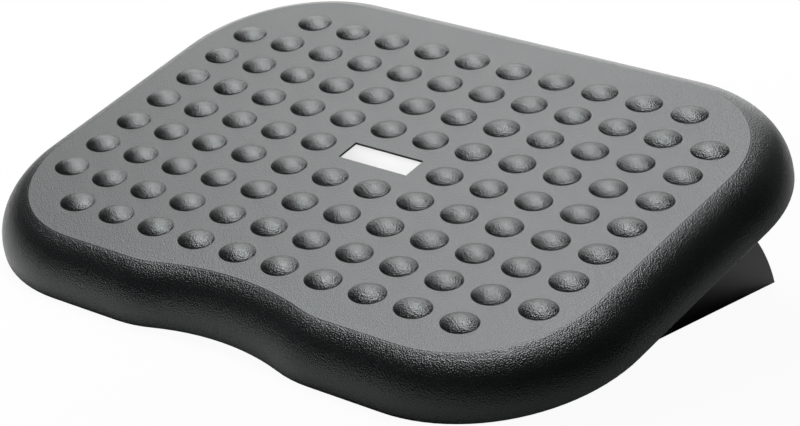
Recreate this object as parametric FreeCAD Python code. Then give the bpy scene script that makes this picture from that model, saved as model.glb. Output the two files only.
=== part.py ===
import FreeCAD, Part
import math
import os

# Tilting under-desk footrest
#
# One moulded platform with massage domes rocks on a steel tube between two arched side legs. At rest its two front
# feet stand on the floor and its back edge is raised. Millimetres, +Z up, +X to the right, +Y to the raised edge.
# The origin lies on the floor, in the middle of the footprint.
#
# The platform and what rides on it are drawn level, with the flat top at z = 0 and the middle of the dome grid at
# the origin, and are then tilted into place. The legs and their tubes are drawn standing on the floor.

Vector = FreeCAD.Vector
X_AXIS = Vector(1, 0, 0)
Z_AXIS = Vector(0, 0, 1)

# Platform, in plan
PLATFORM_WIDTH = 455.0
BACK_REACH = 166.8
FRONT_REACH = 167.4
CORNER_RADIUS = 101.0
SCOOP_DEPTH = 10.6
SCOOP_RADIUS = 172.0
LOBE_RADIUS = 86.0

# Platform rim, in section: a crisp crease, a wide roll, and a short wall down to a lip with a rounded edge
ROLL_RADIUS = 29.6
CREASE_RISE = 0.8
LIP_DEPTH = 31.2
LIP_ROUND = 1.0
SHELL_WALL = 3.0
TOP_THICKNESS = 3.5

# Domes on the platform
DOME_COLUMNS = 12
DOME_ROWS = 9
DOME_PITCH_X = 32.5
DOME_PITCH_Y = 28.53
DOME_HALF_LENGTH = 12.1
DOME_HALF_WIDTH = 9.9
DOME_HEIGHT = 3.0

# Label let into the middle of the top
LABEL_LENGTH = 51.6
LABEL_WIDTH = 16.2
LABEL_THICKNESS = 1.0
LABEL_RECESS = 2.0
LABEL_GAP = 0.4

# Stiffening ribs under the platform
RIB_THICKNESS = 2.5
RIB_DEPTH = 9.0
RIB_PITCH_Y = 61.0
RIBS_TO_TOWER = 4
RIBS_TO_FOOT = 3

# How the platform sits: its tilt at rest, and the axle behind and below the middle of the flat top
REST_TILT = 17.5
AXLE_BACK = 46.0
AXLE_DEPTH = 34.0
LIP_CLEARANCE = 0.8

# Bearings that hang the platform on the axle
TOWER_LENGTH = 22.0
HOUSING_WALL = 4.0
BUSH_WALL = 1.95
BUSH_FLANGE = 1.5
BUSH_FLANGE_RADIUS = 12.5
TOWER_FOOT_SPREAD = 6.0
CHEEK_THICKNESS = 3.0
CAP_SCREW_OFFSET = 19.0
CAP_SCREW_BOSS_RADIUS = 5.5
CAP_FLANGE = 5.0
CAP_SCREW_RADIUS = 1.95
CAP_SCREW_GRIP = 12.0
CAP_HEAD_RADIUS = 4.0
CAP_HEAD_HEIGHT = 2.8

# Rubber feet under the platform's front lobes
FOOT_RADIUS = 8.0
FOOT_BOSS_WALL = 1.5
FOOT_SOCKET_DEPTH = 4.0
FOOT_BOSS_HEIGHT = 31.0
FOOT_INSET = 22.0

# Side legs, set in from the platform's widest outline
LEG_INSET = 48.5
LEG_WIDTH = 17.5
LEG_SKIN = 3.5
LEG_ARC_RADIUS = 123.6
LEG_ARC_SPLIT = 1.9
SHOULDER_RISE = 7.7
HUB_RADIUS = 18.0
HUB_BLEND = 10.0
LEG_EDGE_ROUND = 1.0
LEG_RIB = 2.5
LEG_RIB_PITCH = 31.0
BOSS_WALL = 4.0

# Tubes: the axle and two stretchers of the same stock
TUBE_RADIUS = 8.0
TUBE_WALL = 1.5
SOCKET_DEPTH = 8.0
STRETCHER_SPREAD = 65.0
STRETCHER_HEIGHT = 34.0
PLUG_LENGTH = 18.0

# Screws through the legs into the tube plugs
LEG_SCREW_RADIUS = 2.45
LEG_SCREW_GRIP = 14.0
LEG_HEAD_RADIUS = 4.6
LEG_HEAD_HEIGHT = 3.0
WASHER_RADIUS = 6.2
WASHER_THICKNESS = 1.0
COUNTERBORE_RADIUS = 7.5
COUNTERBORE_DEPTH = 4.5
HEX_SOCKET_SHARE = 0.5

# Friction washers between the legs and the bearings
FRICTION_WASHER_THICKNESS = 2.0
FRICTION_WASHER_RADIUS = 15.0

# Rubber pads under the legs
PAD_LENGTH = 50.0
PAD_WIDTH = 12.0
PAD_SEAT_DEPTH = 1.2
PAD_PROUD = 1.0
PAD_SPREAD = 82.0

# Clearances
RUNNING_CLEARANCE = 0.05
SEAT_CLEARANCE = 0.02
SIDE_GAP = 0.3
SCREW_CLEARANCE = 0.2

# Sizes that follow
BUSH_RADIUS = TUBE_RADIUS + RUNNING_CLEARANCE + BUSH_WALL
HOUSING_BORE = BUSH_RADIUS + SEAT_CLEARANCE
HOUSING_RADIUS = HOUSING_BORE + HOUSING_WALL
LEG_FACE_X = PLATFORM_WIDTH / 2 - LEG_INSET
LEG_INNER_X = LEG_FACE_X - LEG_WIDTH
WASHER_INNER_X = LEG_INNER_X - FRICTION_WASHER_THICKNESS
TOWER_OUTER_X = WASHER_INNER_X - SIDE_GAP
TOWER_INNER_X = TOWER_OUTER_X - TOWER_LENGTH
TOWER_MIDDLE_X = (TOWER_INNER_X + TOWER_OUTER_X) / 2
RIB_PITCH_X = TOWER_MIDDLE_X / RIBS_TO_TOWER
TOWER_HALF_DEPTH = CAP_SCREW_OFFSET + CAP_SCREW_BOSS_RADIUS
TUBE_END_X = LEG_INNER_X + SOCKET_DEPTH
SOCKET_RADIUS = TUBE_RADIUS + SEAT_CLEARANCE
TUBE_BORE = TUBE_RADIUS - TUBE_WALL
PLUG_RADIUS = TUBE_BORE - SEAT_CLEARANCE
BOSS_RADIUS = SOCKET_RADIUS + BOSS_WALL
SOLE_Z = PAD_PROUD

TILT = math.radians(REST_TILT)


def tilted(y, z):
    """Turns a point of the level platform's side view to its tilt at rest, about the middle of the flat top."""
    return y * math.cos(TILT) - z * math.sin(TILT), y * math.sin(TILT) + z * math.cos(TILT)


# The lip under the front lobes is the platform's lowest edge, and sets how high the flat top stands
LIP_CENTRE_DEPTH = LIP_DEPTH - LIP_ROUND
TOP_Z = LIP_CLEARANCE + LIP_ROUND - tilted(LIP_ROUND - FRONT_REACH, -LIP_CENTRE_DEPTH)[1]
AXLE_Y = tilted(AXLE_BACK, -AXLE_DEPTH)[0]
AXLE_Z = TOP_Z + tilted(AXLE_BACK, -AXLE_DEPTH)[1]
ARC_CENTRE_Z = AXLE_Z + SHOULDER_RISE - LEG_ARC_RADIUS
HEEL_Y = AXLE_Y + LEG_ARC_SPLIT + math.sqrt(LEG_ARC_RADIUS**2 - (SOLE_Z - ARC_CENTRE_Z) ** 2)
ROLL_CENTRE_Y = ROLL_RADIUS - FRONT_REACH
ROLL_CENTRE_Z = CREASE_RISE - ROLL_RADIUS
FRONT_EDGE_Y = tilted(ROLL_CENTRE_Y, ROLL_CENTRE_Z)[0] - ROLL_RADIUS
REAR_LIP_Y = tilted(BACK_REACH - LIP_ROUND, -LIP_CENTRE_DEPTH)[0] + LIP_ROUND
FOOTPRINT_MIDDLE_Y = (FRONT_EDGE_Y + max(HEEL_Y, REAR_LIP_Y)) / 2


# Basic solids


def box(x0, x1, y0, y1, z0, z1):
    return Part.makeBox(x1 - x0, y1 - y0, z1 - z0, Vector(x0, y0, z0))


def rod_x(radius, x0, x1, y, z):
    return Part.makeCylinder(radius, x1 - x0, Vector(x0, y, z), X_AXIS)


def rod_z(radius, x, y, z0, z1):
    return Part.makeCylinder(radius, z1 - z0, Vector(x, y, z0), Z_AXIS)


def prism_x(points, x0, x1):
    """A prism along X from a polygon of (y, z) points."""
    corners = [Vector(x0, y, z) for y, z in points]
    face = Part.Face(Part.makePolygon(corners + corners[:1]))
    return face.extrude(Vector(x1 - x0, 0, 0))


def fused(shapes):
    return shapes[0].multiFuse(shapes[1:]).removeSplitter()


def mirrored(shape):
    """The left-hand twin of a right-hand piece."""
    return shape.mirror(Vector(0, 0, 0), X_AXIS)


def rim_edges(shape, z):
    """The edges of a prism's end face at height z."""
    return [e for e in shape.Edges if abs(e.BoundBox.ZMin - z) < 1e-4 and abs(e.BoundBox.ZMax - z) < 1e-4]


# Platform


def arc(centre_x, centre_y, radius, start, end):
    """An arc in the XY plane, from one angle to another in degrees, the short way round."""
    points = []
    for angle in (start, (start + end) / 2, end):
        turn = math.radians(angle)
        points.append(Vector(centre_x + radius * math.cos(turn), centre_y + radius * math.sin(turn), 0))
    return Part.Arc(*points).toShape()


def line(x0, y0, x1, y1):
    return Part.LineSegment(Vector(x0, y0, 0), Vector(x1, y1, 0)).toShape()


def outline(inset):
    """The platform's plan, set in from its widest outline: straight back and sides, two front lobes and a scoop."""
    corner_x = PLATFORM_WIDTH / 2 - CORNER_RADIUS
    back_y = BACK_REACH - CORNER_RADIUS
    front_y = CORNER_RADIUS - FRONT_REACH
    corner = CORNER_RADIUS - inset
    side = PLATFORM_WIDTH / 2 - inset
    back = BACK_REACH - inset
    front = inset - FRONT_REACH
    lobe_y = LOBE_RADIUS - FRONT_REACH
    scoop_y = SCOOP_DEPTH - FRONT_REACH - SCOOP_RADIUS
    lobe_x = math.sqrt((SCOOP_RADIUS + LOBE_RADIUS) ** 2 - (lobe_y - scoop_y) ** 2)
    swing = math.degrees(math.atan2(lobe_x, lobe_y - scoop_y))
    edges = [
        line(-corner_x, back, corner_x, back),
        arc(corner_x, back_y, corner, 90, 0),
        line(side, back_y, side, front_y),
        arc(corner_x, front_y, corner, 0, -90),
        line(corner_x, front, lobe_x, front),
        arc(lobe_x, lobe_y, LOBE_RADIUS - inset, -90, -90 - swing),
        arc(0, scoop_y, SCOOP_RADIUS + inset, 90 - swing, 90 + swing),
        arc(-lobe_x, lobe_y, LOBE_RADIUS - inset, swing - 90, -90),
        line(-lobe_x, front, -corner_x, front),
        arc(-corner_x, front_y, corner, -90, -180),
        line(-side, front_y, -side, back_y),
        arc(-corner_x, back_y, corner, 180, 90),
    ]
    return Part.Face(Part.Wire(edges))


def slab(inset, low, high):
    """A straight prism of the platform's plan."""
    face = outline(inset)
    face.translate(Vector(0, 0, low))
    return face.extrude(Vector(0, 0, high - low))


def rolled_slab(inset, low, high, radius):
    """A prism of the platform's plan with its upper edge rolled over."""
    body = slab(inset, low, high)
    return body.makeFillet(radius, rim_edges(body, high))


def level_band(low, high):
    """Everything of the platform between two levels."""
    reach = PLATFORM_WIDTH
    return box(-reach, reach, -reach, reach, low, high)


def dome_places():
    """The grid of domes, without its four corners and the two cells that the label takes."""
    places = []
    for column in range(DOME_COLUMNS):
        for row in range(DOME_ROWS):
            across = column - (DOME_COLUMNS - 1) / 2
            along = row - (DOME_ROWS - 1) / 2
            corner = column in (0, DOME_COLUMNS - 1) and row in (0, DOME_ROWS - 1)
            under_label = abs(across) * DOME_PITCH_X < LABEL_LENGTH / 2 and along == 0
            if not corner and not under_label:
                places.append((across * DOME_PITCH_X, along * DOME_PITCH_Y))
    return places


def domes():
    """Low oval domes: a ball's cap, narrowed along Y. Each runs a little way down into the top."""
    sphere_radius = (DOME_HALF_LENGTH**2 + DOME_HEIGHT**2) / (2 * DOME_HEIGHT)
    ball = Part.makeSphere(sphere_radius, Vector(0, 0, DOME_HEIGHT - sphere_radius))
    root = TOP_THICKNESS / 4
    reach = DOME_HALF_LENGTH * 2
    cap = ball.common(box(-reach, reach, -reach, reach, -root, DOME_HEIGHT))
    narrowing = FreeCAD.Matrix()
    narrowing.scale(Vector(1, DOME_HALF_WIDTH / DOME_HALF_LENGTH, 1))
    cap = cap.transformGeometry(narrowing)
    caps = []
    for x, y in dome_places():
        caps.append(cap.translated(Vector(x, y, 0)))
    return caps


def ribs(cavity):
    """A grid of shallow ribs that fills the underside from wall to wall."""
    low = -TOP_THICKNESS - RIB_DEPTH
    reach = PLATFORM_WIDTH
    half = RIB_THICKNESS / 2
    strips = []
    for step in range(-RIBS_TO_TOWER - 1, RIBS_TO_TOWER + 2):
        x = step * RIB_PITCH_X
        strips.append(box(x - half, x + half, -reach, reach, low, -TOP_THICKNESS / 2))
    for step in range(-2, 2):
        y = AXLE_BACK + step * RIB_PITCH_Y
        strips.append(box(-reach, reach, y - half, y + half, low, -TOP_THICKNESS / 2))
    return fused(strips).common(cavity)


def tower():
    """The right-hand bearing tower: half of the housing, two cheeks, a web and two screw bosses."""
    axle = -AXLE_DEPTH
    root = -TOP_THICKNESS / 2
    housing = rod_x(HOUSING_RADIUS, TOWER_INNER_X, TOWER_OUTER_X, AXLE_BACK, axle)
    foot = TOWER_HALF_DEPTH + TOWER_FOOT_SPREAD
    side_view = [
        (AXLE_BACK - TOWER_HALF_DEPTH, axle),
        (AXLE_BACK + TOWER_HALF_DEPTH, axle),
        (AXLE_BACK + foot, root),
        (AXLE_BACK - foot, root),
    ]
    half_web = CHEEK_THICKNESS / 2
    pieces = [
        housing.common(box(0, PLATFORM_WIDTH, -PLATFORM_WIDTH, PLATFORM_WIDTH, axle, 0)),
        prism_x(side_view, TOWER_INNER_X, TOWER_INNER_X + CHEEK_THICKNESS),
        prism_x(side_view, TOWER_OUTER_X - CHEEK_THICKNESS, TOWER_OUTER_X),
        box(TOWER_INNER_X, TOWER_OUTER_X, AXLE_BACK - half_web, AXLE_BACK + half_web, axle, root),
    ]
    for way in (-1, 1):
        pieces.append(rod_z(CAP_SCREW_BOSS_RADIUS, TOWER_MIDDLE_X, AXLE_BACK + way * CAP_SCREW_OFFSET, axle, root))
    return fused(pieces)


def tower_bores():
    """What is bored out of the right-hand tower: the bush's seat and the two screw holes."""
    bores = [rod_x(HOUSING_BORE, TOWER_INNER_X - 1, TOWER_OUTER_X + 1, AXLE_BACK, -AXLE_DEPTH)]
    for way in (-1, 1):
        y = AXLE_BACK + way * CAP_SCREW_OFFSET
        top = CAP_SCREW_GRIP + 1 - AXLE_DEPTH
        bores.append(rod_z(CAP_SCREW_RADIUS + SEAT_CLEARANCE, TOWER_MIDDLE_X, y, -AXLE_DEPTH - 1, top))
    return bores


def foot_place():
    """Middle of the right-hand front foot, in the level platform's plan."""
    return RIBS_TO_FOOT * RIB_PITCH_X, FOOT_INSET - FRONT_REACH


def foot_boss():
    """The right-hand foot's boss: a post that ends inside the rolled rim, with a socket in its lower end."""
    x, y = foot_place()
    low = -TOP_THICKNESS - FOOT_BOSS_HEIGHT
    half_wall = SHELL_WALL / 2
    under_skin = rolled_slab(half_wall, low, CREASE_RISE - half_wall, ROLL_RADIUS - half_wall)
    boss = rod_z(FOOT_RADIUS + FOOT_BOSS_WALL, x, y, low, -TOP_THICKNESS / 2).common(under_skin)
    return boss.cut(rod_z(FOOT_RADIUS + SEAT_CLEARANCE, x, y, low - 1, low + FOOT_SOCKET_DEPTH))


def label_pocket():
    half_length = LABEL_LENGTH / 2 + LABEL_GAP
    half_width = LABEL_WIDTH / 2 + LABEL_GAP
    return box(-half_length, half_length, -half_width, half_width, -LABEL_RECESS, 1)


def platform():
    rim = rolled_slab(0, -LIP_DEPTH, CREASE_RISE, ROLL_RADIUS)
    rim = rim.makeFillet(LIP_ROUND, rim_edges(rim, -LIP_DEPTH))
    rim = rim.common(level_band(-LIP_DEPTH, 0))
    cavity = rolled_slab(SHELL_WALL, -LIP_DEPTH - 1, CREASE_RISE - SHELL_WALL, ROLL_RADIUS - SHELL_WALL)
    cavity = cavity.common(level_band(-LIP_DEPTH - 1, -TOP_THICKNESS))
    shell = rim.cut(cavity)
    thick_cavity = rim.common(level_band(-LIP_DEPTH, -TOP_THICKNESS / 2))
    extras = [ribs(thick_cavity)]
    for piece in (tower(), foot_boss()):
        extras += [piece, mirrored(piece)]
    body = shell.multiFuse(extras + domes())
    cuts = [label_pocket()]
    for bore in tower_bores():
        cuts += [bore, mirrored(bore)]
    return body.cut(cuts).removeSplitter()


def label_inlay():
    low = -LABEL_RECESS
    plate = box(-LABEL_LENGTH / 2, LABEL_LENGTH / 2, -LABEL_WIDTH / 2, LABEL_WIDTH / 2, low, low + LABEL_THICKNESS)
    corners = [e for e in plate.Edges if abs(e.BoundBox.ZLength - LABEL_THICKNESS) < 1e-4]
    return plate.makeFillet(LABEL_GAP, corners)


def platform_foot():
    """The right-hand rubber foot: a plug in its boss, cut off level with the floor at rest."""
    x, y = foot_place()
    seat = FOOT_SOCKET_DEPTH - TOP_THICKNESS - FOOT_BOSS_HEIGHT
    plug = rod_z(FOOT_RADIUS, x, y, -LIP_DEPTH - FRONT_REACH, seat)
    above_floor = box(0, PLATFORM_WIDTH, -PLATFORM_WIDTH, PLATFORM_WIDTH, 0, PLATFORM_WIDTH)
    above_floor.translate(Vector(0, 0, -TOP_Z))
    above_floor.rotate(Vector(0, 0, 0), X_AXIS, -REST_TILT)
    return plug.common(above_floor)


# Bearings


def bush():
    """The right-hand bush: a flanged sleeve that turns on the axle tube."""
    sleeve = rod_x(BUSH_RADIUS, TOWER_INNER_X - BUSH_FLANGE, TOWER_OUTER_X, AXLE_BACK, -AXLE_DEPTH)
    flange = rod_x(BUSH_FLANGE_RADIUS, TOWER_INNER_X - BUSH_FLANGE, TOWER_INNER_X, AXLE_BACK, -AXLE_DEPTH)
    bore = rod_x(TUBE_RADIUS + RUNNING_CLEARANCE, TOWER_INNER_X - 9, TOWER_OUTER_X + 9, AXLE_BACK, -AXLE_DEPTH)
    return sleeve.fuse(flange).cut(bore).removeSplitter()


def bearing_cap():
    """The right-hand cap: the housing's lower half with a flange for its two screws."""
    axle = -AXLE_DEPTH
    low_half = box(0, PLATFORM_WIDTH, -PLATFORM_WIDTH, PLATFORM_WIDTH, axle - HOUSING_RADIUS, axle)
    housing = rod_x(HOUSING_RADIUS, TOWER_INNER_X, TOWER_OUTER_X, AXLE_BACK, axle).common(low_half)
    flange = box(
        TOWER_INNER_X,
        TOWER_OUTER_X,
        AXLE_BACK - TOWER_HALF_DEPTH,
        AXLE_BACK + TOWER_HALF_DEPTH,
        axle - CAP_FLANGE,
        axle,
    )
    corners = [e for e in flange.Edges if abs(e.BoundBox.ZLength - CAP_FLANGE) < 1e-4]
    flange = flange.makeFillet(CAP_SCREW_BOSS_RADIUS, corners)
    cuts = [rod_x(HOUSING_BORE, TOWER_INNER_X - 1, TOWER_OUTER_X + 1, AXLE_BACK, axle)]
    for way in (-1, 1):
        y = AXLE_BACK + way * CAP_SCREW_OFFSET
        low = axle - CAP_FLANGE - 1
        cuts.append(rod_z(CAP_SCREW_RADIUS + SCREW_CLEARANCE, TOWER_MIDDLE_X, y, low, axle + 1))
    return housing.fuse(flange).cut(cuts).removeSplitter()


def screw(shank_radius, shank_length, head_radius, head_height):
    """A pan-head screw with a hexagon socket: its shank runs up +Z from the head's seat at z = 0."""
    head = rod_z(head_radius, 0, 0, -head_height, 0)
    top = [e for e in head.Edges if e.BoundBox.ZMax < -head_height / 2]
    head = head.makeFillet(head_height / 3, top)
    socket_radius = head_radius * HEX_SOCKET_SHARE
    corners = []
    for side in range(7):
        turn = math.radians(60 * side)
        corners.append(Vector(socket_radius * math.cos(turn), socket_radius * math.sin(turn), -head_height - 1))
    socket = Part.Face(Part.makePolygon(corners)).extrude(Vector(0, 0, 1 + head_height / 2))
    shank = rod_z(shank_radius, 0, 0, -head_height / 4, shank_length)
    tip = [e for e in shank.Edges if e.BoundBox.ZMin > shank_length / 2 and e.BoundBox.ZLength < 1e-4]
    shank = shank.makeChamfer(shank_radius / 3, tip)
    return head.fuse(shank).cut(socket).removeSplitter()


def cap_screws():
    one = screw(CAP_SCREW_RADIUS, CAP_FLANGE + CAP_SCREW_GRIP, CAP_HEAD_RADIUS, CAP_HEAD_HEIGHT)
    placed = []
    for way in (-1, 1):
        y = AXLE_BACK + way * CAP_SCREW_OFFSET
        right = one.translated(Vector(TOWER_MIDDLE_X, y, -AXLE_DEPTH - CAP_FLANGE))
        placed += [right, mirrored(right)]
    return Part.makeCompound(placed)


# Legs and tubes


def tube_places():
    """Where the three tubes run, as (y, z): the axle, then the front and rear stretchers."""
    return [
        (AXLE_Y, AXLE_Z),
        (AXLE_Y - STRETCHER_SPREAD, STRETCHER_HEIGHT),
        (AXLE_Y + STRETCHER_SPREAD, STRETCHER_HEIGHT),
    ]


def arch(inset, x0, x1):
    """The leg's side view between two planes, set in from its edge: a flat sole under two shoulders and a hub."""
    shoulders = []
    for way in (-1, 1):
        shoulders.append(
            rod_x(LEG_ARC_RADIUS - inset, x0, x1, AXLE_Y + way * LEG_ARC_SPLIT, ARC_CENTRE_Z)
        )
    crown = ARC_CENTRE_Z + LEG_ARC_RADIUS - inset
    shoulders.append(box(x0, x1, AXLE_Y - LEG_ARC_SPLIT, AXLE_Y + LEG_ARC_SPLIT, SOLE_Z, crown))
    reach = LEG_ARC_RADIUS * 2
    over_sole = box(x0, x1, AXLE_Y - reach, AXLE_Y + reach, SOLE_Z + inset, crown + reach)
    body = fused(shoulders).common(over_sole)
    body = fused([body, rod_x(HUB_RADIUS - inset, x0, x1, AXLE_Y, AXLE_Z)])
    corners = []
    for edge in body.Edges:
        middle = edge.CenterOfMass
        runs_across = edge.BoundBox.XLength > (x1 - x0) * 0.99 and edge.BoundBox.YLength < 1e-4
        beside_hub = abs(middle.y - AXLE_Y) < HUB_RADIUS * 1.2 and middle.z > AXLE_Z - HUB_RADIUS
        level = edge.BoundBox.ZLength < 1e-4
        off_top = abs(middle.y - AXLE_Y) > HUB_RADIUS / 2
        if runs_across and beside_hub and level and off_top:
            corners.append(edge)
    return body.makeFillet(HUB_BLEND + inset, corners)


def leg_ribs():
    """Ribs inside the leg: upright ones at an even pitch, and a brace from the hub to each stretcher's boss."""
    x1 = LEG_FACE_X - LEG_SKIN / 2
    half = LEG_RIB / 2
    strips = []
    for step in range(-3, 4):
        y = AXLE_Y + step * LEG_RIB_PITCH
        strips.append(box(LEG_INNER_X, x1, y - half, y + half, SOLE_Z, AXLE_Z))
    for y, z in tube_places()[1:]:
        run = math.hypot(y - AXLE_Y, z - AXLE_Z)
        brace = box(LEG_INNER_X, x1, 0, run, -half, half)
        brace.rotate(Vector(0, 0, 0), X_AXIS, math.degrees(math.atan2(z - AXLE_Z, y - AXLE_Y)))
        brace.translate(Vector(0, AXLE_Y, AXLE_Z))
        strips.append(brace)
    return strips


def pad_seat(way, depth):
    """The rubber pad's space under the leg's front (-1) or rear (1) half."""
    x = (LEG_INNER_X + LEG_FACE_X) / 2
    y = AXLE_Y + way * PAD_SPREAD
    return box(x - PAD_WIDTH / 2, x + PAD_WIDTH / 2, y - PAD_LENGTH / 2, y + PAD_LENGTH / 2, 0, depth)


def leg():
    """The right-hand leg: an arched side plate, open on its inner side, with sockets for the three tubes."""
    whole = arch(0, LEG_INNER_X, LEG_FACE_X)
    face_edges = [e for e in whole.Edges if e.BoundBox.XMin > LEG_FACE_X - 1e-4]
    whole = whole.makeFillet(LEG_EDGE_ROUND, face_edges)
    pocket = arch(LEG_SKIN, LEG_INNER_X - 1, LEG_FACE_X - LEG_SKIN)
    inside = [strip.common(whole) for strip in leg_ribs()]
    for y, z in tube_places():
        inside.append(rod_x(BOSS_RADIUS, LEG_INNER_X, LEG_FACE_X - LEG_SKIN / 2, y, z))
    body = whole.cut(pocket).multiFuse(inside)
    cuts = []
    for y, z in tube_places():
        cuts.append(rod_x(SOCKET_RADIUS, LEG_INNER_X - 1, TUBE_END_X, y, z))
        cuts.append(rod_x(LEG_SCREW_RADIUS + SCREW_CLEARANCE, LEG_INNER_X - 1, LEG_FACE_X + 1, y, z))
        cuts.append(rod_x(COUNTERBORE_RADIUS, LEG_FACE_X - COUNTERBORE_DEPTH, LEG_FACE_X + 1, y, z))
    for way in (-1, 1):
        cuts.append(pad_seat(way, SOLE_Z + PAD_SEAT_DEPTH))
    return body.cut(cuts).removeSplitter()


def leg_pad(way):
    """A rubber pad of the right-hand leg, seated in the sole and standing proud of it."""
    pad = pad_seat(way, SOLE_Z + PAD_SEAT_DEPTH)
    ends = [e for e in pad.Edges if e.BoundBox.ZLength > PAD_SEAT_DEPTH]
    return pad.makeFillet(PAD_WIDTH / 4, ends)


def tube(y, z):
    bar = rod_x(TUBE_RADIUS, -TUBE_END_X, TUBE_END_X, y, z)
    return bar.cut(rod_x(TUBE_BORE, -TUBE_END_X - 1, TUBE_END_X + 1, y, z))


def plug(y, z):
    """The right-hand plug of a tube, flush with its end."""
    bar = rod_x(PLUG_RADIUS, TUBE_END_X - PLUG_LENGTH, TUBE_END_X, y, z)
    hole = rod_x(LEG_SCREW_RADIUS + SEAT_CLEARANCE, TUBE_END_X - PLUG_LENGTH - 1, TUBE_END_X + 1, y, z)
    return bar.cut(hole)


def leg_screw(y, z):
    """The right-hand screw of a tube: its head sits on a washer in the leg's counterbore."""
    seat_x = LEG_FACE_X - COUNTERBORE_DEPTH + WASHER_THICKNESS
    length = seat_x - TUBE_END_X + LEG_SCREW_GRIP
    one = screw(LEG_SCREW_RADIUS, length, LEG_HEAD_RADIUS, LEG_HEAD_HEIGHT)
    one.rotate(Vector(0, 0, 0), Vector(0, 1, 0), -90)
    return one.translated(Vector(seat_x, y, z))


def leg_washer(y, z):
    seat_x = LEG_FACE_X - COUNTERBORE_DEPTH
    disc = rod_x(WASHER_RADIUS, seat_x, seat_x + WASHER_THICKNESS, y, z)
    return disc.cut(rod_x(LEG_SCREW_RADIUS + SCREW_CLEARANCE, seat_x - 1, LEG_FACE_X, y, z))


def friction_washer():
    """The right-hand friction washer, fixed on the leg's hub and rubbed by the platform's tower."""
    disc = rod_x(FRICTION_WASHER_RADIUS, WASHER_INNER_X, LEG_INNER_X, AXLE_Y, AXLE_Z)
    return disc.cut(rod_x(SOCKET_RADIUS, WASHER_INNER_X - 1, LEG_INNER_X + 1, AXLE_Y, AXLE_Z))


def both_sides(make, places):
    """A group of like pieces at several tubes, on the right and on the left."""
    placed = []
    for y, z in places:
        right = make(y, z)
        placed += [right, mirrored(right)]
    return Part.makeCompound(placed)


# Assembly


def on_platform(shape):
    """Tilts a piece of the level platform into its place at rest."""
    placed = shape.copy()
    placed.rotate(Vector(0, 0, 0), X_AXIS, REST_TILT)
    return placed.translated(Vector(0, -FOOTPRINT_MIDDLE_Y, TOP_Z))


def on_floor(shape):
    """Moves a piece of the base to the footprint's own origin."""
    return shape.translated(Vector(0, -FOOTPRINT_MIDDLE_Y, 0))


def pieces():
    axle, front, rear = tube_places()
    made = {
        "platform": on_platform(platform()),
        "label_inlay": on_platform(label_inlay()),
        "cap_screws": on_platform(cap_screws()),
        "axle_tube": on_floor(tube(*axle)),
        "front_stretcher": on_floor(tube(*front)),
        "rear_stretcher": on_floor(tube(*rear)),
        "axle_plugs": on_floor(both_sides(plug, [axle])),
        "stretcher_plugs": on_floor(both_sides(plug, [front, rear])),
        "leg_screws": on_floor(both_sides(leg_screw, tube_places())),
        "leg_washers": on_floor(both_sides(leg_washer, tube_places())),
    }
    paired = {
        "bearing_cap": (bearing_cap(), on_platform),
        "bush": (bush(), on_platform),
        "platform_foot": (platform_foot(), on_platform),
        "leg": (leg(), on_floor),
        "friction_washer": (friction_washer(), on_floor),
        "front_pad": (leg_pad(-1), on_floor),
        "rear_pad": (leg_pad(1), on_floor),
    }
    for name, (right, place) in paired.items():
        made["right_" + name] = place(right)
        made["left_" + name] = place(mirrored(right))
    return made


os.makedirs("parts", exist_ok=True)
for name, shape in pieces().items():
    shape.exportStep("parts/" + name + ".step")
print("axle y %.4f z %.4f" % (AXLE_Y - FOOTPRINT_MIDDLE_Y, AXLE_Z))
print("flat top's middle y %.4f z %.4f" % (-FOOTPRINT_MIDDLE_Y, TOP_Z))
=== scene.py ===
import math

import bpy
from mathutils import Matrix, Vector


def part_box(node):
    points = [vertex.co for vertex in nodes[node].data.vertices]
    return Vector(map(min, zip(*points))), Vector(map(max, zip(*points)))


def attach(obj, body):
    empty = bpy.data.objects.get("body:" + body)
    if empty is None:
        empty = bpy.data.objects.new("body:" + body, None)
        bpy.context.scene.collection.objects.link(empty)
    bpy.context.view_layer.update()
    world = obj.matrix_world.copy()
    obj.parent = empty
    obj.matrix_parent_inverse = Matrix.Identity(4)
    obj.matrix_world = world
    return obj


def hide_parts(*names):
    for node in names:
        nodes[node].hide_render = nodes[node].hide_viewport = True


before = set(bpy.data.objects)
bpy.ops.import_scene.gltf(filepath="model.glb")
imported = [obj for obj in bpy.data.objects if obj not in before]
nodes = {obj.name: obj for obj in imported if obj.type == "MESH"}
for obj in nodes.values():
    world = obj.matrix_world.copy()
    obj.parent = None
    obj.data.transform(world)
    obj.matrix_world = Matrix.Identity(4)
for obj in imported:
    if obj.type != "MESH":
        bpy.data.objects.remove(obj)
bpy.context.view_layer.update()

bpy.ops.object.select_all(action="DESELECT")


# The camera
# It looks at the footrest from the right of its low front edge, from about 1.7 m away through a long
# lens, and it is held a touch off level.

CAMERA_PLACE = (0.97954, -1.21328, 0.59133)
CAMERA_TURN = (math.radians(70.6656), math.radians(-1.3605), math.radians(39.1184))
CAMERA_LENS = 123.05
CAMERA_SENSOR = 36.0
CAMERA_REACH = 50.0

bpy.ops.object.camera_add(location=CAMERA_PLACE, rotation=CAMERA_TURN)
camera = bpy.context.object
camera.name = "camera"
camera.data.lens = CAMERA_LENS
camera.data.sensor_width = CAMERA_SENSOR
camera.data.clip_end = CAMERA_REACH
bpy.context.scene.camera = camera
bpy.context.scene.view_settings.view_transform = "Standard"


# The studio floor
# A wide white sweep that keeps a faint shadow of the footrest. Its colour is painted darker to the right,
# as painted shade away from the lamps that also darkens what the rim reflects, and the camera sees nearly
# all of it as plain white paper.

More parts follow.
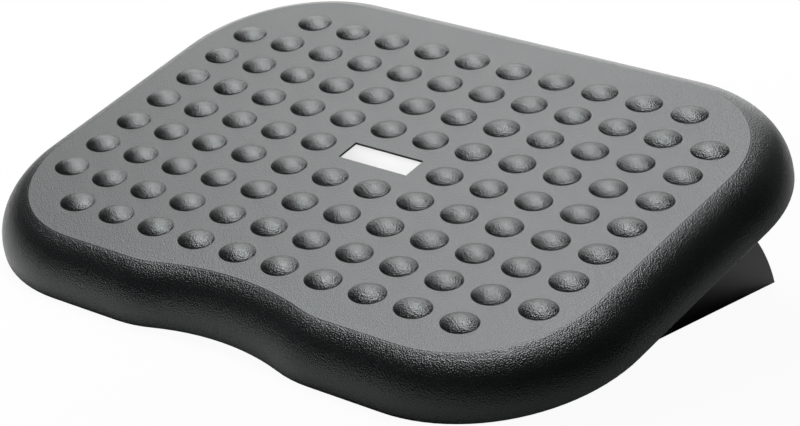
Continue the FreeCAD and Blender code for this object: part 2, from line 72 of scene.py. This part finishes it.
WHITE = (1, 1, 1, 1)
FLOOR_SIZE = 24
FLOOR_LEFT = (0.85, 0.85, 0.85, 1)
FLOOR_PAINTED_SHADE = (0.2, 0.2, 0.2, 1)
PAINTED_SHADE_FADE = (-0.2, 0.5)
FLOOR_ROUGHNESS = 0.9
PAPER_SHARE = 0.95
PAPER_FADE = (0.6, 2.5)


class Shade:
    """A node's output in a material, with the usual arithmetic."""

    def __init__(self, tree, socket):
        self.tree = tree
        self.socket = socket

    def node(self, kind, settings=None, output=0, **inputs):
        """Adds a node of this kind: its settings first, then values or links for its inputs."""
        made = self.tree.nodes.new(kind)
        for name, value in (settings or {}).items():
            setattr(made, name, value)
        for name, value in inputs.items():
            numbered = name[0] == "i" and name[1:].isdigit()
            key = int(name[1:]) if numbered else name.replace("_", " ")
            feed(made, key, value)
        return Shade(self.tree, made.outputs[output])

    def maths(self, operation, first, second=0.0, clamp=False):
        settings = {"operation": operation, "use_clamp": clamp}
        return self.node("ShaderNodeMath", settings, i0=first, i1=second)

    def __add__(self, other):
        return self.maths("ADD", self, other)

    def __sub__(self, other):
        return self.maths("SUBTRACT", self, other)

    def __mul__(self, other):
        return self.maths("MULTIPLY", self, other)

    def __radd__(self, other):
        return self.maths("ADD", other, self)

    def __rsub__(self, other):
        return self.maths("SUBTRACT", other, self)

    def __rmul__(self, other):
        return self.maths("MULTIPLY", other, self)

    def __pow__(self, other):
        return self.maths("POWER", self, other)

    def clamped(self):
        return self.maths("ADD", self, 0.0, clamp=True)

    def along(self, direction):
        """How far a vector reaches along a direction."""
        settings = {"operation": "DOT_PRODUCT"}
        return self.node("ShaderNodeVectorMath", settings, output=1, i0=self, i1=direction)

    def between(self, low, high):
        """0 at low and 1 at high, smoothly."""
        settings = {"interpolation_type": "SMOOTHSTEP"}
        return self.node("ShaderNodeMapRange", settings, Value=self, From_Min=low, From_Max=high)

    def ranging(self, low, high):
        """Low where this is 0 and high where it is 1."""
        return low + self * (high - low)

    def blend(self, first, second):
        """The first colour where this is 0, the second where it is 1."""
        settings = {"data_type": "RGBA"}
        return self.node("ShaderNodeMix", settings, output=2, Factor=self, i6=first, i7=second)


def feed(node, key, value):
    """Sets or links one of a node's inputs."""
    if isinstance(value, Shade):
        value.tree.links.new(value.socket, node.inputs[key])
    else:
        node.inputs[key].default_value = value


def finish_of(name):
    """A fresh material: its main shader, and a Shade on its Object coordinates."""
    material = bpy.data.materials.new(name)
    material.use_nodes = True
    tree = material.node_tree
    coordinates = tree.nodes.new("ShaderNodeTexCoord")
    return material, tree.nodes["Principled BSDF"], Shade(tree, coordinates.outputs["Object"])


bpy.ops.mesh.primitive_plane_add(size=FLOOR_SIZE, location=(0, 0, 0))
floor = bpy.context.object
floor.name = "studio_floor"
floor_material, shader, place = finish_of("studio_white")
# Painted shade: the floor's base colour darkens towards the right, away from the lamps.
painted_shade_rightward = place.along((1, 0, 0)).between(*PAINTED_SHADE_FADE)
feed(shader, "Base Color", painted_shade_rightward.blend(FLOOR_LEFT, FLOOR_PAINTED_SHADE))
feed(shader, "Roughness", FLOOR_ROUGHNESS)
feed(shader, "Specular IOR Level", 0.0)
camera_ray = place.node("ShaderNodeLightPath")
distance = place.node("ShaderNodeVectorMath", {"operation": "LENGTH"}, output=1, i0=place)
share = camera_ray * distance.between(*PAPER_FADE).ranging(PAPER_SHARE, 1)
lit_floor = Shade(place.tree, shader.outputs[0])
paper = place.node("ShaderNodeEmission", Color=WHITE, Strength=1.0)
seen = place.node("ShaderNodeMixShader", i0=share, i1=lit_floor, i2=paper)
feed(place.tree.nodes["Material Output"], "Surface", seen)
floor.data.materials.append(floor_material)


# The studio light
# One large softbox stands behind the left corner, one hangs almost overhead and a wide, weak one stands
# low at the back. The wall glows a little and the rest of the room is dark, so the rim falls away to black.

LAMP_DISTANCE = 5.0
WALL_AZIMUTH = math.radians(-22)
WALL_SIDE = (math.sin(WALL_AZIMUTH), math.cos(WALL_AZIMUTH), 0)
WALL_GLOW = 0.17
WALL_HEIGHT = 0.75


def softbox(name, azimuth, elevation, size, radiance):
    """A square soft lamp aimed at the footrest. Its azimuth runs from +Y towards +X, in degrees."""
    turn = math.radians(azimuth)
    rise = math.radians(elevation)
    level = math.cos(rise)
    towards = Vector((math.sin(turn) * level, math.cos(turn) * level, math.sin(rise)))
    bpy.ops.object.light_add(type="AREA", location=towards * LAMP_DISTANCE)
    lamp = bpy.context.object
    lamp.name = name
    lamp.data.shape = "SQUARE"
    lamp.data.size = size
    lamp.data.energy = radiance * math.pi**2 * size**2 / 4
    lamp.rotation_euler = towards.to_track_quat("Z", "Y").to_euler()


softbox("back_softbox", azimuth=-54, elevation=52.5, size=2.5, radiance=4.6)
softbox("top_softbox", azimuth=-76, elevation=76, size=2.7, radiance=11.3)
softbox("low_softbox", azimuth=-38, elevation=21, size=4.1, radiance=2.2)

world = bpy.data.worlds.new("studio_room")
bpy.context.scene.world = world
world.use_nodes = True
tree = world.node_tree
backdrop = tree.nodes["Background"]
direction = Shade(tree, tree.nodes.new("ShaderNodeTexCoord").outputs["Generated"])
seen_by_camera = direction.node("ShaderNodeLightPath")
height = direction.along((0, 0, 1 / WALL_HEIGHT))
low_down = direction.maths("EXPONENT", -1 * height * height)
wall = WALL_GLOW * low_down * direction.along(WALL_SIDE).clamped() ** 2
feed(backdrop, "Color", WHITE)
feed(backdrop, "Strength", seen_by_camera + (1 - seen_by_camera) * wall)


# The platform
# One moulded shell of black polypropylene. Its outer skin has a fine pebble grain, shallower on the flat
# top and a little on the domes, which are polished. The underside is left nearly smooth from the mould.

REST_TILT = math.radians(17.5)
PLATE_UP = Vector((0, -math.sin(REST_TILT), math.cos(REST_TILT)))
PLATE_MIDDLE = Vector((0, -0.0079229, 0.0806397))
DOME_FOOT = (0.0001, 0.0006)
CREASE_DEPTH = (-0.0005, -0.0001)
UNDERSIDE_TURN = (-0.3, -0.1)
PEBBLE_SCALE = 1150
PIT_SCALE = 2600
CLOUD_SCALE = 24
GRAIN_DEPTH = 0.00032
DARK_SKIN = (0.010, 0.011, 0.0114, 1)
LIGHT_SKIN = (0.016, 0.0175, 0.018, 1)
SKIN_ROUGHNESS = (0.26, 0.32)
FLAT_DULLNESS = 0.09
DOME_POLISH = 0.05
SATIN_LEVEL = 0.62
COOL_SHEEN = (0.94, 1.0, 1.0, 1)


def noise(place, scale, detail=2.0):
    return place.node("ShaderNodeTexNoise", Vector=place, Scale=scale, Detail=detail)


def pebbles(place, scale, smoothness=0.5):
    settings = {"feature": "SMOOTH_F1"}
    return place.node("ShaderNodeTexVoronoi", settings, Vector=place, Scale=scale, Smoothness=smoothness)


def relief(place, height, depth):
    """A bump of this depth, in metres, where the height runs from 0 to 1."""
    return place.node("ShaderNodeBump", Strength=1.0, Distance=depth, Height=height)


def dress(material, *names):
    """Gives CAD pieces their finish."""
    for name in names:
        mesh = nodes[name].data
        mesh.materials.clear()
        mesh.materials.append(material)


platform_material, shader, place = finish_of("black_pebble_grain")
above_top = place.along(PLATE_UP) - PLATE_UP.dot(PLATE_MIDDLE)
domed = above_top.between(*DOME_FOOT)
flat = (1 - domed) * above_top.between(*CREASE_DEPTH)
facing = Shade(place.tree, place.tree.nodes.new("ShaderNodeNewGeometry").outputs["Normal"])
outside = facing.along(PLATE_UP).between(*UNDERSIDE_TURN)
grain = pebbles(place, PEBBLE_SCALE)
pits = noise(place, PIT_SCALE, detail=1.0)
cloud = noise(place, CLOUD_SCALE, detail=3.0)
tone = (grain * 0.3 + cloud * 0.5).between(0.1, 0.8)
feed(shader, "Base Color", tone.blend(DARK_SKIN, LIGHT_SKIN))
feed(shader, "Roughness", cloud.ranging(*SKIN_ROUGHNESS) + flat * FLAT_DULLNESS - domed * DOME_POLISH)
feed(shader, "Specular IOR Level", SATIN_LEVEL)
feed(shader, "Specular Tint", COOL_SHEEN)
grain_share = outside.ranging(0.15, 1) * (1 - 0.15 * domed - 0.55 * flat)
feed(shader, "Normal", relief(place, (grain * 0.8 + pits * 0.2) * grain_share, GRAIN_DEPTH))
dress(platform_material, "platform")


# The label
# A small bare plate of white plastic, pressed into a shallow recess in the middle of the top. Its corners
# are rounded and its upper edges are softened.

LABEL_SIZE = (0.0516, 0.0162, 0.001)
LABEL_CORNER = 0.0004
LABEL_EDGE = 0.00015
LABEL_GREYER = (0.79, 0.79, 0.785, 1)
LABEL_WHITER = (0.83, 0.83, 0.83, 1)
SMOOTH_UP_TO = math.radians(35)
SAME_PLACE = 1e-6


def pick(piece, kind, wanted):
    """Selects a piece's edges or faces whose corners pass a test, and leaves it in edit mode."""
    bpy.ops.object.mode_set(mode="EDIT")
    bpy.ops.mesh.select_mode(type=kind)
    bpy.ops.mesh.select_all(action="DESELECT")
    bpy.ops.object.mode_set(mode="OBJECT")
    mesh = piece.data
    for part in mesh.edges if kind == "EDGE" else mesh.polygons:
        part.select = wanted([mesh.vertices[index].co for index in part.vertices])
    bpy.ops.object.mode_set(mode="EDIT")


def upright(corners):
    """Whether an edge runs straight up."""
    return (corners[0].xy - corners[1].xy).length < SAME_PLACE


def finished(piece, material, body, replaced):
    """Settles a modelled piece: outward normals, smooth shading, its finish and its body."""
    bpy.ops.object.mode_set(mode="EDIT")
    bpy.ops.mesh.select_all(action="SELECT")
    bpy.ops.mesh.normals_make_consistent(inside=False)
    bpy.ops.object.mode_set(mode="OBJECT")
    bpy.ops.object.transform_apply(location=True, rotation=True, scale=True)
    bpy.ops.object.shade_smooth_by_angle(angle=SMOOTH_UP_TO)
    piece.data.materials.append(material)
    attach(piece, body)
    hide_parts(replaced)
    bpy.ops.object.select_all(action="DESELECT")


label_material, shader, place = finish_of("bare_white_plate")
speck = noise(place, scale=1500)
cloud = noise(place, scale=60, detail=3.0)
feed(shader, "Base Color", cloud.blend(LABEL_GREYER, LABEL_WHITER))
feed(shader, "Roughness", speck.ranging(0.36, 0.44))
feed(shader, "Normal", relief(place, speck, depth=0.00002))

lo, hi = (Vector(corner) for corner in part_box("label_inlay"))
bpy.ops.mesh.primitive_cube_add(
    size=1, location=(lo + hi) / 2, rotation=(REST_TILT, 0, 0), scale=LABEL_SIZE)
label = bpy.context.object
label.name = "label_plate"
bpy.ops.object.transform_apply(location=False, rotation=False, scale=True)
pick(label, "EDGE", upright)
bpy.ops.mesh.bevel(offset=LABEL_CORNER, segments=3)
pick(label, "EDGE", lambda corners: all(corner.z > 0 for corner in corners))
bpy.ops.mesh.bevel(offset=LABEL_EDGE, segments=2)
finished(label, label_material, "tilting_platform", "label_inlay")


# The platform's feet
# Two round rubber feet, pushed into sockets under the front corners and cut level with the floor. Their
# lower edge is rounded and the sole is a little hollow, so that only a ring grips.

FOOT_SIDES = 64
FOOT_EDGE = 0.0006
FOOT_RING = 0.0025
FOOT_HOLLOW = 0.0004
FLOOR_TOUCH = 1e-5
DARK_RUBBER = (0.014, 0.014, 0.014, 1)
DUSTY_RUBBER = (0.028, 0.028, 0.027, 1)

rubber_material, shader, place = finish_of("black_rubber")
bloom = noise(place, scale=90, detail=4.0)
pores = noise(place, scale=2200)
feed(shader, "Base Color", bloom.blend(DARK_RUBBER, DUSTY_RUBBER))
feed(shader, "Roughness", bloom.ranging(0.72, 0.86))
feed(shader, "Normal", relief(place, pores, depth=0.00006))


def on_floor(corners):
    """Whether an edge or a face lies on the floor."""
    return all(corner.z < FLOOR_TOUCH for corner in corners)


def hollow(piece, ring, depth):
    """Leaves a ring around each flat of the sole and lifts the rest of it off the floor."""
    pick(piece, "FACE", on_floor)
    bpy.ops.mesh.inset(thickness=ring, depth=0, use_individual=True)
    bpy.ops.transform.translate(value=(0, 0, depth))


for side in ("right", "left"):
    lo, hi = (Vector(corner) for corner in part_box(side + "_platform_foot"))
    radius = (hi.x - lo.x) / 2
    across = Vector((0, math.cos(REST_TILT), math.sin(REST_TILT))) * radius
    top = Vector(((lo.x + hi.x) / 2, lo.y + across.y, hi.z - across.z))
    length = 2 * (hi.z - lo.z)
    bpy.ops.mesh.primitive_cylinder_add(
        vertices=FOOT_SIDES, radius=radius, depth=length, rotation=(REST_TILT, 0, 0),
        location=top - PLATE_UP * length / 2)
    foot = bpy.context.object
    foot.name = side + "_rubber_foot"
    bpy.ops.object.transform_apply(location=True, rotation=True, scale=True)
    bpy.ops.object.mode_set(mode="EDIT")
    bpy.ops.mesh.select_all(action="SELECT")
    bpy.ops.mesh.bisect(plane_co=(0, 0, lo.z), plane_no=(0, 0, 1), use_fill=True, clear_inner=True)
    pick(foot, "EDGE", on_floor)
    bpy.ops.mesh.bevel(offset=FOOT_EDGE, segments=3)
    hollow(foot, FOOT_RING, FOOT_HOLLOW)
    finished(foot, rubber_material, "tilting_platform", side + "_platform_foot")


# The leg pads
# Four moulded rubber soles, one glued under each end of each leg. Their corners are rounded and a row of
# shallow pockets gives them grip.

PAD_CORNER = 0.003
PAD_POCKETS = 7
PAD_RIB = 0.0008
PAD_POCKET_DEPTH = 0.0005

for side in ("right", "left"):
    for end in ("front", "rear"):
        node = side + "_" + end + "_pad"
        lo, hi = (Vector(corner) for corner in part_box(node))
        bpy.ops.mesh.primitive_cube_add(size=1, location=(lo + hi) / 2, scale=hi - lo)
        pad = bpy.context.object
        pad.name = side + "_" + end + "_sole"
        bpy.ops.object.transform_apply(location=True, rotation=True, scale=True)
        pick(pad, "EDGE", upright)
        bpy.ops.mesh.bevel(offset=PAD_CORNER, segments=5)
        for cut in range(1, PAD_POCKETS):
            bpy.ops.mesh.select_all(action="SELECT")
            bpy.ops.mesh.bisect(plane_co=lo.lerp(hi, cut / PAD_POCKETS), plane_no=(0, 1, 0))
        hollow(pad, PAD_RIB, PAD_POCKET_DEPTH)
        finished(pad, rubber_material, "base", node)


# The bearings
# Each side of the platform turns on a split bearing: a black moulded cap holds a pale nylon bush around the
# axle, and zinc-plated screws hold the cap.

DARK_CAP = (0.014, 0.014, 0.014, 1)
LIGHT_CAP = (0.022, 0.022, 0.022, 1)
YELLOWER_NYLON = (0.62, 0.6, 0.52, 1)
PALER_NYLON = (0.7, 0.68, 0.61, 1)
NYLON_DEPTH = 0.002
DULL_ZINC = (0.5, 0.51, 0.53, 1)
BRIGHT_ZINC = (0.68, 0.69, 0.7, 1)


def moulded(name, dark, light, roughness, scale, depth):
    """A moulded plastic: a faintly cloudy tone and a fine unevenness."""
    material, shader, place = finish_of(name)
    cloud = noise(place, scale / 25, detail=3.0)
    feed(shader, "Base Color", cloud.blend(dark, light))
    feed(shader, "Roughness", cloud.ranging(roughness, roughness + 0.08))
    feed(shader, "Normal", relief(place, noise(place, scale, detail=3.0), depth))
    return material, shader


cap_material, shader = moulded(
    "black_cap_plastic", DARK_CAP, LIGHT_CAP, roughness=0.38, scale=1300, depth=0.00006)
bush_material, shader = moulded(
    "natural_nylon", YELLOWER_NYLON, PALER_NYLON, roughness=0.34, scale=700, depth=0.00003)
feed(shader, "Subsurface Weight", 0.15)
feed(shader, "Subsurface Scale", NYLON_DEPTH)

zinc_material, shader, place = finish_of("zinc_plate")
crystals = pebbles(place, scale=900, smoothness=0.2)
haze = noise(place, scale=160, detail=4.0)
feed(shader, "Base Color", haze.blend(DULL_ZINC, BRIGHT_ZINC))
feed(shader, "Metallic", 1.0)
feed(shader, "Roughness", crystals.ranging(0.26, 0.36) + haze * 0.08)
feed(shader, "Normal", relief(place, crystals, depth=0.00001))

dress(cap_material, "right_bearing_cap", "left_bearing_cap")
dress(bush_material, "right_bush", "left_bush")
dress(zinc_material, "cap_screws")


# The legs
# Two arched side frames, moulded in smooth black plastic with a satin skin that shows faint flow marks.
# Screws with washers hold them to the ends of the tubes, and a fibre washer rubs on each from inside.

DARK_LEG = (0.016, 0.016, 0.0164, 1)
LIGHT_LEG = (0.026, 0.026, 0.0267, 1)
FLOW_STRETCH = (1, 1, 4)
DARK_FIBRE = (0.035, 0.028, 0.022, 1)
PALE_FIBRE = (0.13, 0.105, 0.08, 1)
FIBRE_STRETCH = (1, 5, 1)


def stretched(place, scale):
    """The place, stretched along one axis so that a pattern on it runs in lines."""
    return place.node("ShaderNodeMapping", Vector=place, Scale=scale)


leg_material, shader, place = finish_of("satin_black_leg")
flow = noise(stretched(place, FLOW_STRETCH), scale=14, detail=4.0)
skin = noise(place, scale=1500, detail=1.0)
feed(shader, "Base Color", flow.blend(DARK_LEG, LIGHT_LEG))
feed(shader, "Roughness", flow.ranging(0.36, 0.44))
feed(shader, "Specular IOR Level", SATIN_LEVEL)
feed(shader, "Normal", relief(place, skin * 0.4 + flow * 0.6, depth=0.00012))
dress(leg_material, "right_leg", "left_leg")
dress(zinc_material, "leg_screws", "leg_washers")

fibre_material, shader, place = finish_of("friction_fibre")
strand = noise(stretched(place, FIBRE_STRETCH), scale=500, detail=4.0)
fleck = pebbles(place, scale=700, smoothness=0.1).between(0.25, 0.6)
feed(shader, "Base Color", (fleck * 0.6 + strand * 0.4).blend(DARK_FIBRE, PALE_FIBRE))
feed(shader, "Roughness", fleck.ranging(0.86, 0.72))
feed(shader, "Normal", relief(place, strand, depth=0.00012))
dress(fibre_material, "right_friction_washer", "left_friction_washer")


# The tubes
# The axle and two stretchers join the legs. They are steel tubes with a black powder coat like fine orange
# peel, and black nylon plugs close their ends.

DARK_COAT = (0.012, 0.012, 0.0125, 1)
LIGHT_COAT = (0.02, 0.02, 0.021, 1)
DARK_PLUG = (0.012, 0.012, 0.012, 1)
LIGHT_PLUG = (0.02, 0.02, 0.02, 1)

tube_material, shader, place = finish_of("black_powder_coat")
peel = pebbles(place, scale=420, smoothness=1.0)
dust = noise(place, scale=2400)
feed(shader, "Base Color", noise(place, scale=30).blend(DARK_COAT, LIGHT_COAT))
feed(shader, "Roughness", dust.ranging(0.34, 0.44))
feed(shader, "Coat Weight", 0.2)
feed(shader, "Normal", relief(place, peel * 0.8 + dust * 0.2, depth=0.00012))
plug_material, shader = moulded(
    "black_nylon_plug", DARK_PLUG, LIGHT_PLUG, roughness=0.42, scale=900, depth=0.00005)
dress(tube_material, "axle_tube", "front_stretcher", "rear_stretcher")
dress(plug_material, "axle_plugs", "stretcher_plugs")
